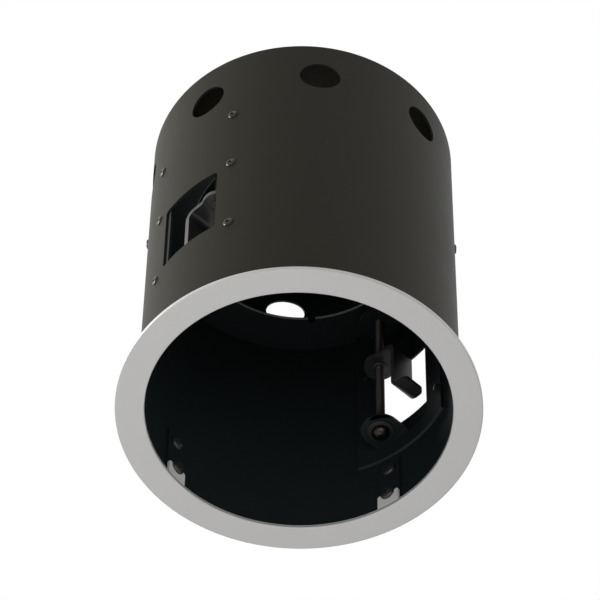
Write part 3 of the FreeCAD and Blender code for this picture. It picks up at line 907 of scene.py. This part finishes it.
@dataclass
class Fixings:
    """Tapped plates inside the tube, with one screw in a lug and one above it at each."""

    bench: Bench
    plate_half: float = 6.5 * MM
    foot: float = 2 * MM
    margin: float = 8 * MM
    hole_radius: float = 2.05 * MM
    shank_radius: float = 2 * MM
    corner: float = 1.5 * MM
    head_radius: float = 4 * MM
    head_height: float = 2.4 * MM
    cross_length: float = 4.4 * MM

    def build(self) -> None:
        """Make the plates and both rows of screws."""
        layout, fit, palette = self.bench.layout, self.bench.fit, self.bench.palette
        for index, azimuth in enumerate(layout.fixings):
            plate = self.plate(f"tapped_plate_{index + 1}", azimuth)
            fit(plate, palette.black_paint, "housing", "black_steel", f"fixing_plate_{index + 1}")
        rows = (
            ("lug_screws", layout.ring_opening, layout.lower_screw, "trim_screws"),
            ("upper_plate_screws", layout.lining, layout.upper_screw, "plate_screws"),
        )
        for name, wall, height, node in rows:
            fit(self.screws(name, wall, height), palette.black_steel, "housing", "black_steel", node)

    def plate(self, name: str, azimuth: float) -> Mesh:
        """Return one tapped plate with round corners and two threaded holes."""
        shop, layout = self.bench.shop, self.bench.layout
        radii = (layout.lining, layout.liner)
        reach = math.degrees(math.asin(self.plate_half / layout.liner))
        low, high = layout.ring_top + self.foot, layout.upper_screw + self.margin
        plate = shop.sector(name, radii, (low, high), reach)
        shop.rounded(plate, self.corner, 4, corner_test(self.plate_half, [low, high]))
        tools = []
        for height in (layout.lower_screw, layout.upper_screw):
            start, end = (radii[0] - OVERRUN, 0, height), (radii[1] + OVERRUN, 0, height)
            tools.append(shop.rod("tapped_hole", self.hole_radius, start, end, 32))
        shop.work(plate, tools)
        return shop.placed(shop.softened(plate, 0.12 * MM), azimuth)

    def screws(self, name: str, wall: float, height: float) -> Mesh:
        """Return four screws at one height, their heads inside the housing."""
        shop, layout = self.bench.shop, self.bench.layout
        seat = math.sqrt(wall ** 2 - self.head_radius ** 2)
        length = layout.liner - seat - layout.gap
        maker = PanHead(shop, self.head_radius, self.head_height, self.cross_length)
        first = shop.placed(maker.head(self.shank_radius, length), lay=-90, shift=(seat, 0, height))
        return shop.repeated(first, name, [(azimuth, 0.0) for azimuth in layout.fixings])


@dataclass
class ClampUnit:
    """A riveted bracket with its screw, nuts and claw behind one window."""

    bench: Bench
    unit: str
    azimuth: float
    pitch: float = 0.8 * MM
    thread_depth: float = 0.43 * MM
    screw_core: float = 2.5 * MM
    bore: float = 2.55 * MM
    nut_flats: float = 8 * MM
    nut_height: float = 4 * MM
    washer_radius: float = 7 * MM
    washer_height: float = 1.2 * MM
    head_radius: float = 4.8 * MM
    cross_length: float = 5.2 * MM
    cross_depth: float = 2.2 * MM
    neck: float = 3 * MM
    near_jamb: float = 16.2 * MM
    far_jamb: float = 20 * MM
    opening_corner: float = 2 * MM
    leaf_half: float = 10.5 * MM
    strip: float = 2.5 * MM
    strip_width: float = 14 * MM
    eye_radius: float = 8.5 * MM
    eye_bore: float = 3.35 * MM
    spigot_radius: float = 3.3 * MM
    spigot_rim: float = 4.1 * MM
    spigot_fold: float = 0.8 * MM
    leg_reach: float = 14.6 * MM
    bend: float = 6 * MM
    foot_length: float = 8.4 * MM
    foot_corner: float = 3 * MM

    def build(self) -> None:
        """Make every piece of the unit and set it on its body."""
        palette, layout, unit = self.bench.palette, self.bench.layout, self.unit
        fit, black, side = self.bench.fit, self.bench.palette.black_steel, layout.rivet_side
        fit(self.bracket(), palette.bracket_paint, "housing", "black_paint", f"clamp_bracket_{unit}")
        sides = (self.azimuth - side, self.azimuth + side)
        places = [(azimuth, height) for height in layout.rivet_heights for azimuth in sides]
        Rivets(self.bench).row(f"rivet_set_{unit}", places, layout.lining, f"bracket_rivets_{unit}")
        fit(self.washer(), black, "housing", "black_steel", f"screw_washer_{unit}")
        fit(self.screw(), palette.zinc_steel, f"screw_{unit}", "zinc_steel", f"clamp_screw_{unit}")
        fit(self.lock_nut(), black, f"screw_{unit}", "black_steel", f"lock_nut_{unit}")
        fit(self.claw_nut(), black, f"nut_{unit}", "black_steel", f"claw_nut_{unit}")
        claw = self.claw()
        fit(claw, palette.claw_paint, f"claw_{unit}", "black_steel", f"clamp_claw_{unit}")
        self.highlit_bare_edges(claw)

    def at_screw(self, piece: Mesh) -> Mesh:
        """Move a piece made on the Z axis to the unit's screw."""
        layout = self.bench.layout
        return self.bench.shop.placed(piece, self.azimuth, (layout.screw_radius, layout.screw_offset, 0))

    def bracket(self) -> Mesh:
        """Return the curved plate with its opening and its two leaves."""
        shop, layout = self.bench.shop, self.bench.layout
        radii = (layout.lining, layout.liner)
        plate = shop.sector(f"bracket_plate_{self.unit}", radii, layout.bracket, layout.bracket_side)
        near = (layout.inner / 2, -self.near_jamb, layout.shelf_top)
        far = (layout.outer, self.far_jamb, layout.upper_leaf)
        opening = shop.block("opening", near, far)
        shop.rounded(opening, self.opening_corner, 5, lambda a, b: abs(a.x - b.x) > 10 * MM)
        shop.work(plate, [opening])
        for low in (layout.shelf_top - layout.sheet, layout.upper_leaf):
            shop.work(plate, [self.leaf(low, low + layout.sheet)], Solver.JOIN)
        return shop.placed(shop.softened(plate, 0.18 * MM), self.azimuth)

    def leaf(self, low: float, high: float) -> Mesh:
        """Return one leaf, round at its end, with the screw's hole in it."""
        shop, layout, half = self.bench.shop, self.bench.layout, self.leaf_half
        x, y = layout.screw_radius, layout.screw_offset
        near, far = (x, y - half, low), (layout.outer, y + half, high)
        leaf = shop.block("leaf", near, far)
        shop.work(leaf, [shop.rod("leaf_end", half, (x, y, low), (x, y, high), 96)], Solver.JOIN)
        rim, below, above = layout.lining + layout.sheet / 2, low - 1 * MM, high + 1 * MM
        shop.work(leaf, [shop.rod("leaf_rim", rim, (0, 0, below), (0, 0, above), FACETS)], Solver.KEEP)
        hole = shop.rod("leaf_hole", self.bore, (x, y, below), (x, y, above), 48)
        return shop.work(leaf, [hole])

    def screw(self) -> Mesh:
        """Return the screw: head below the washer, a plain neck and a cut thread."""
        shop = self.bench.shop
        low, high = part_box(f"clamp_screw_{self.unit}")
        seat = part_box(f"screw_washer_{self.unit}")[0].z - self.bench.layout.gap
        neck = self.neck
        maker = PanHead(
            shop, self.head_radius, seat - low.z, self.cross_length, cross_depth=self.cross_depth
        )
        head = maker.head(self.screw_core * 0.9, neck)
        shop.hold(head)
        head.rotation_euler = (math.pi, 0, 0)
        bpy.ops.object.transform_apply()
        shop.placed(head, 0, (0, 0, seat))
        thread = self.thread(seat + neck / 2, high.z)
        return self.at_screw(shop.joined(f"threaded_screw_{self.unit}", [head, thread]))

    def thread(self, low: float, high: float) -> Mesh:
        """Return a threaded bar between two heights, cut square at both ends."""
        shop, pitch = self.bench.shop, self.pitch
        root, crest = self.screw_core - self.thread_depth, self.screw_core
        start = low - 2 * pitch
        marks = ((root, 0.0), (root, 0.12), (crest, 0.46), (crest, 0.58), (root, 0.92), (root, 1.0))
        bar = shop.traced("thread", [(radius, 0, start + pitch * share) for radius, share in marks])
        bpy.ops.object.mode_set(mode="OBJECT")
        turns = int((high - start) / pitch) + 3
        shop.use(bar, "SCREW", angle=2 * math.pi, screw_offset=pitch, iterations=turns, steps=20)
        shop.sealed(bar)
        shop.trimmed(bar, (0, 0, low), (0, 0, -1))
        shop.trimmed(bar, (0, 0, high), (0, 0, 1))
        shop.hold(bar)
        bpy.ops.object.shade_smooth_by_angle(angle=math.radians(30))
        return bar

    def washer(self) -> Mesh:
        """Return the washer under the shelf, its rims rounded."""
        shop, layout = self.bench.shop, self.bench.layout
        high = layout.shelf_top - layout.sheet
        low, bore, rim = high - self.washer_height, self.bore, self.washer_radius
        section = [(bore, low), (rim, low), (rim, high), (bore, high)]
        washer = shop.turned(f"round_washer_{self.unit}", section, 72)
        return self.at_screw(shop.softened(washer, 0.22 * MM, 3))

    def nut(self, name: str, low: float) -> Mesh:
        """Return a hexagon nut whose corners are chamfered and whose bore is countersunk."""
        shop, high = self.bench.shop, low + self.nut_height
        corner = self.nut_flats / math.sqrt(3)
        nut = shop.rod(name, corner, (0, 0, low), (0, 0, high), 6)
        slope, flat = 0.45 * MM, self.nut_flats / 2
        outline = [(0, low), (flat * 0.97, low), (corner, low + slope), (corner, high - slope)]
        outline += [(flat * 0.97, high), (0, high)]
        lathe = shop.turned("chamfer", outline, 96, closed=False)
        sink = self.bore + 0.4 * MM
        bore = [(0, low - MM), (sink, low - MM), (sink, low), (self.bore, low + 0.4 * MM)]
        bore += [(self.bore, high - 0.4 * MM), (sink, high), (sink, high + MM), (0, high + MM)]
        shop.work(nut, [lathe], Solver.KEEP)
        shop.work(nut, [shop.turned("bore", bore, 48, closed=False)])
        return shop.softened(nut, 0.06 * MM, 2, 25)

    def lock_nut(self) -> Mesh:
        """Return the nut above the upper leaf."""
        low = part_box(f"lock_nut_{self.unit}")[0].z
        return self.at_screw(self.nut(f"hex_lock_nut_{self.unit}", low))

    def claw_nut(self) -> Mesh:
        """Return the nut of the claw, with its spigot turned over below the arm."""
        shop = self.bench.shop
        low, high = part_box(f"claw_nut_{self.unit}")
        seat = high.z - self.nut_height
        nut = self.nut("claw_nut_body", seat)
        collar, fold = self.spigot_radius, self.spigot_fold
        outline = [(self.bore, low.z)]
        outline += scaled(((0.9, 0), (1, 0.35), (1, 0.7), (0.94, 1)), self.spigot_rim, fold, low.z)
        outline += [(collar, low.z + fold), (collar, seat + 0.1 * MM), (self.bore, seat)]
        spigot = shop.softened(shop.turned("spigot", outline, 64), 0.0)
        return self.at_screw(shop.joined(f"hex_claw_nut_{self.unit}", [nut, spigot]))

    def claw(self) -> Mesh:
        """Return the bent strip: eye, arm, two bends, leg and foot."""
        shop, layout = self.bench.shop, self.bench.layout
        low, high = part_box(f"clamp_claw_{self.unit}")
        x, y, half = layout.screw_radius, layout.screw_offset, self.strip / 2
        leg, middle = y - self.leg_reach - half, self.bend - half
        top, foot = high.z - half, low.z + half
        path = [(y, top)]
        path += arc((leg + middle, top - middle), middle, 90, 180, 10)
        path += arc((leg - middle, foot + middle), middle, 360, 270, 10)
        path += [(leg - half - self.foot_length, foot)]
        side = x - self.strip_width / 2
        strip = shop.traced(f"bent_claw_{self.unit}", [(side, a, b) for a, b in path])
        across = {"value": (self.strip_width, 0, 0)}
        bpy.ops.mesh.extrude_region_move(TRANSFORM_OT_translate=across)
        shop.sealed(strip)
        shop.use(strip, "SOLIDIFY", thickness=self.strip, offset=0.0, use_even_offset=True)
        tip = leg - half - self.foot_length
        shop.rounded(strip, self.foot_corner, 6, lambda a, b: self.at_tip(a, b, tip))
        eye = shop.rod("eye", self.eye_radius, (x, y, high.z - self.strip), (x, y, high.z), 96)
        shop.work(strip, [eye], Solver.JOIN)
        hole = shop.rod("eye_hole", self.eye_bore, (x, y, high.z - OVERRUN), (x, y, high.z + OVERRUN), 48)
        shop.work(strip, [hole])
        return shop.placed(shop.softened(strip, 0.35 * MM, 3, 50), self.azimuth)

    def highlit_bare_edges(self, claw: Mesh) -> None:
        """Give the cut edges of the claw's strip a lighter steel: bare steel, made light enough to be a
        painted highlight along the edges.
        """
        low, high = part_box(f"clamp_claw_{self.unit}")
        outwards = Matrix.Rotation(math.radians(self.azimuth), 3, "Z") @ Vector((1, 0, 0))
        # painted highlight: the edge faces get the lighter steel, as bare steel that catches light
        claw.data.materials.append(self.bench.palette.claw_edge_highlight_steel)
        for face in claw.data.polygons:
            at_end = min(high.z - face.center.z, face.center.z - low.z) < self.strip
            beside = abs(face.normal.dot(outwards)) > 0.7
            if beside or (at_end and abs(face.normal.z) < 0.3):
                face.material_index = 1

    def at_tip(self, first: Vector, second: Vector, tip: float) -> bool:
        """Say whether an edge is upright at the foot's tip."""
        return max(first.y, second.y) < tip + 0.1 * MM and abs(first.z - second.z) > self.strip / 2


@dataclass
class Lamp:
    """One soft area lamp that looks at a point."""

    name: str
    place: Sequence[float]
    target: Sequence[float]
    size: float
    power: float

    def hang(self) -> None:
        """Add the lamp."""
        Workshop.clear()
        bpy.ops.object.light_add(type="AREA", location=self.place)
        lamp = bpy.context.object
        lamp.name = self.name
        lamp.data.energy = self.power
        lamp.data.shape = "DISK"
        lamp.data.size = self.size
        away = Vector(self.place) - Vector(self.target)
        lamp.rotation_euler = away.to_track_quat("Z", "Y").to_euler()


@dataclass
class Studio:
    """Pale floor, white surroundings, soft lamps and the camera below the housing."""

    camera_place: Sequence[float] = (-0.0003, -1.0720, -1.2485)
    camera_tilt: float = 51.34
    camera_roll: float = 0.936
    focal_pixels: float = 3279.0
    frame_pixels: float = 600.0
    sensor: float = 36.0
    floor_drop: float = 0.5 * MM
    floor_radius: float = 3.0
    surround: float = 0.55
    lamps: tuple[Lamp, ...] = (
        Lamp("left_softbox", (-1.5, 0.1, 0.35), (0, 0, 0.1), 0.9, 36.0),
        Lamp("right_softbox", (1.5, 0.1, 0.4), (0, 0, 0.1), 0.9, 4.0),
        Lamp("low_fill", (0.1, -1.2, -0.9), (0, 0, 0.05), 1.0, 7.0),
        Lamp("back_fill", (-0.3, 0.6, -1.3), (0, 0, 0.0), 0.6, 3.0),
    )

    def build(self, layout: Layout) -> None:
        """Set up everything that isn't the housing."""
        self.floor(layout.ring_outer)
        self.world()
        for lamp in self.lamps:
            lamp.hang()
        self.camera()
        bpy.context.scene.view_settings.view_transform = "Standard"

    def floor(self, hole: float) -> None:
        """Lay a round floor, open below the ring, that lets light and the camera through from below."""
        Workshop.clear()
        bpy.ops.mesh.primitive_circle_add(vertices=96, radius=hole, location=(0, 0, -self.floor_drop))
        floor = Workshop.adopt("studio_floor")
        bpy.ops.object.transform_apply()
        share = self.floor_radius / hole
        with Workshop.editing(floor):
            bpy.ops.mesh.extrude_region_move()
            bpy.ops.transform.resize(value=(share, share, 1), center_override=(0, 0, 0))
            bpy.ops.mesh.select_all(action="SELECT")
            bpy.ops.mesh.normals_make_consistent(inside=False)
        if floor.data.polygons[0].normal.z < 0:
            with Workshop.editing(floor):
                bpy.ops.mesh.flip_normals()
        floor.data.materials.append(self.floor_material())

    def floor_material(self) -> bpy.types.Material:
        """Return the floor's material: pale from above, clear from below."""
        material, graph = new_material("pale_floor")
        below = graph.node("ShaderNodeNewGeometry", {}, {}, "Backfacing")
        shadow = graph.node("ShaderNodeLightPath", {}, {}, "Is Shadow Ray")
        pale = graph.node("ShaderNodeBsdfDiffuse", {}, {"Color": (0.8, 0.8, 0.79, 1.0)})
        clear = graph.node("ShaderNodeBsdfTransparent", {}, {})
        mixed = graph.node("ShaderNodeMixShader", {}, {0: below.at_least(shadow), 1: pale, 2: clear})
        graph.node("ShaderNodeOutputMaterial", {}, {"Surface": mixed})
        return material

    def world(self) -> None:
        """Make the surroundings white to the eye and in reflections, and a little dimmer as light."""
        world = bpy.data.worlds.new("white_surround")
        world.use_nodes = True
        bpy.context.scene.world = world
        graph = Graph(world.node_tree)
        path = graph.node("ShaderNodeLightPath", {}, {}, "Is Camera Ray")
        glossy = graph.node("ShaderNodeLightPath", {}, {}, "Is Glossy Ray")
        strength = path.at_least(glossy) * (1.0 - self.surround) + self.surround
        light = graph.node("ShaderNodeBackground", {}, {"Color": (1.0, 1.0, 1.0, 1.0), "Strength": strength})
        graph.node("ShaderNodeOutputWorld", {}, {"Surface": light})

    def camera(self) -> None:
        """Set the camera at the photograph's viewing angle."""
        Workshop.clear()
        bpy.ops.object.camera_add()
        camera = bpy.context.object
        camera.name = "photo_camera"
        camera.data.sensor_width = self.sensor
        camera.data.lens = self.sensor * self.focal_pixels / self.frame_pixels
        camera.data.clip_end = 50.0
        tilt = Matrix.Rotation(math.radians(90 + self.camera_tilt), 4, "X")
        roll = Matrix.Rotation(math.radians(self.camera_roll), 4, "Z")
        camera.matrix_world = Matrix.Translation(self.camera_place) @ tilt @ roll
        bpy.context.scene.camera = camera


def main() -> None:
    """Build the housing, the clamp units and the studio."""
    logging.basicConfig(level=logging.INFO, format="%(name)s: %(message)s")
    layout = Layout()
    bench = Bench(Workshop, Palette(), layout)
    HousingShell(bench).build()
    TrimRing(bench).build()
    Partition(bench).build()
    Fixings(bench).build()
    for unit, azimuth in layout.units.items():
        ClampUnit(bench, unit, azimuth).build()
    Studio().build(layout)
    log.info("%d pieces made", len(bench.made))


if __name__ == "__main__":
    main()
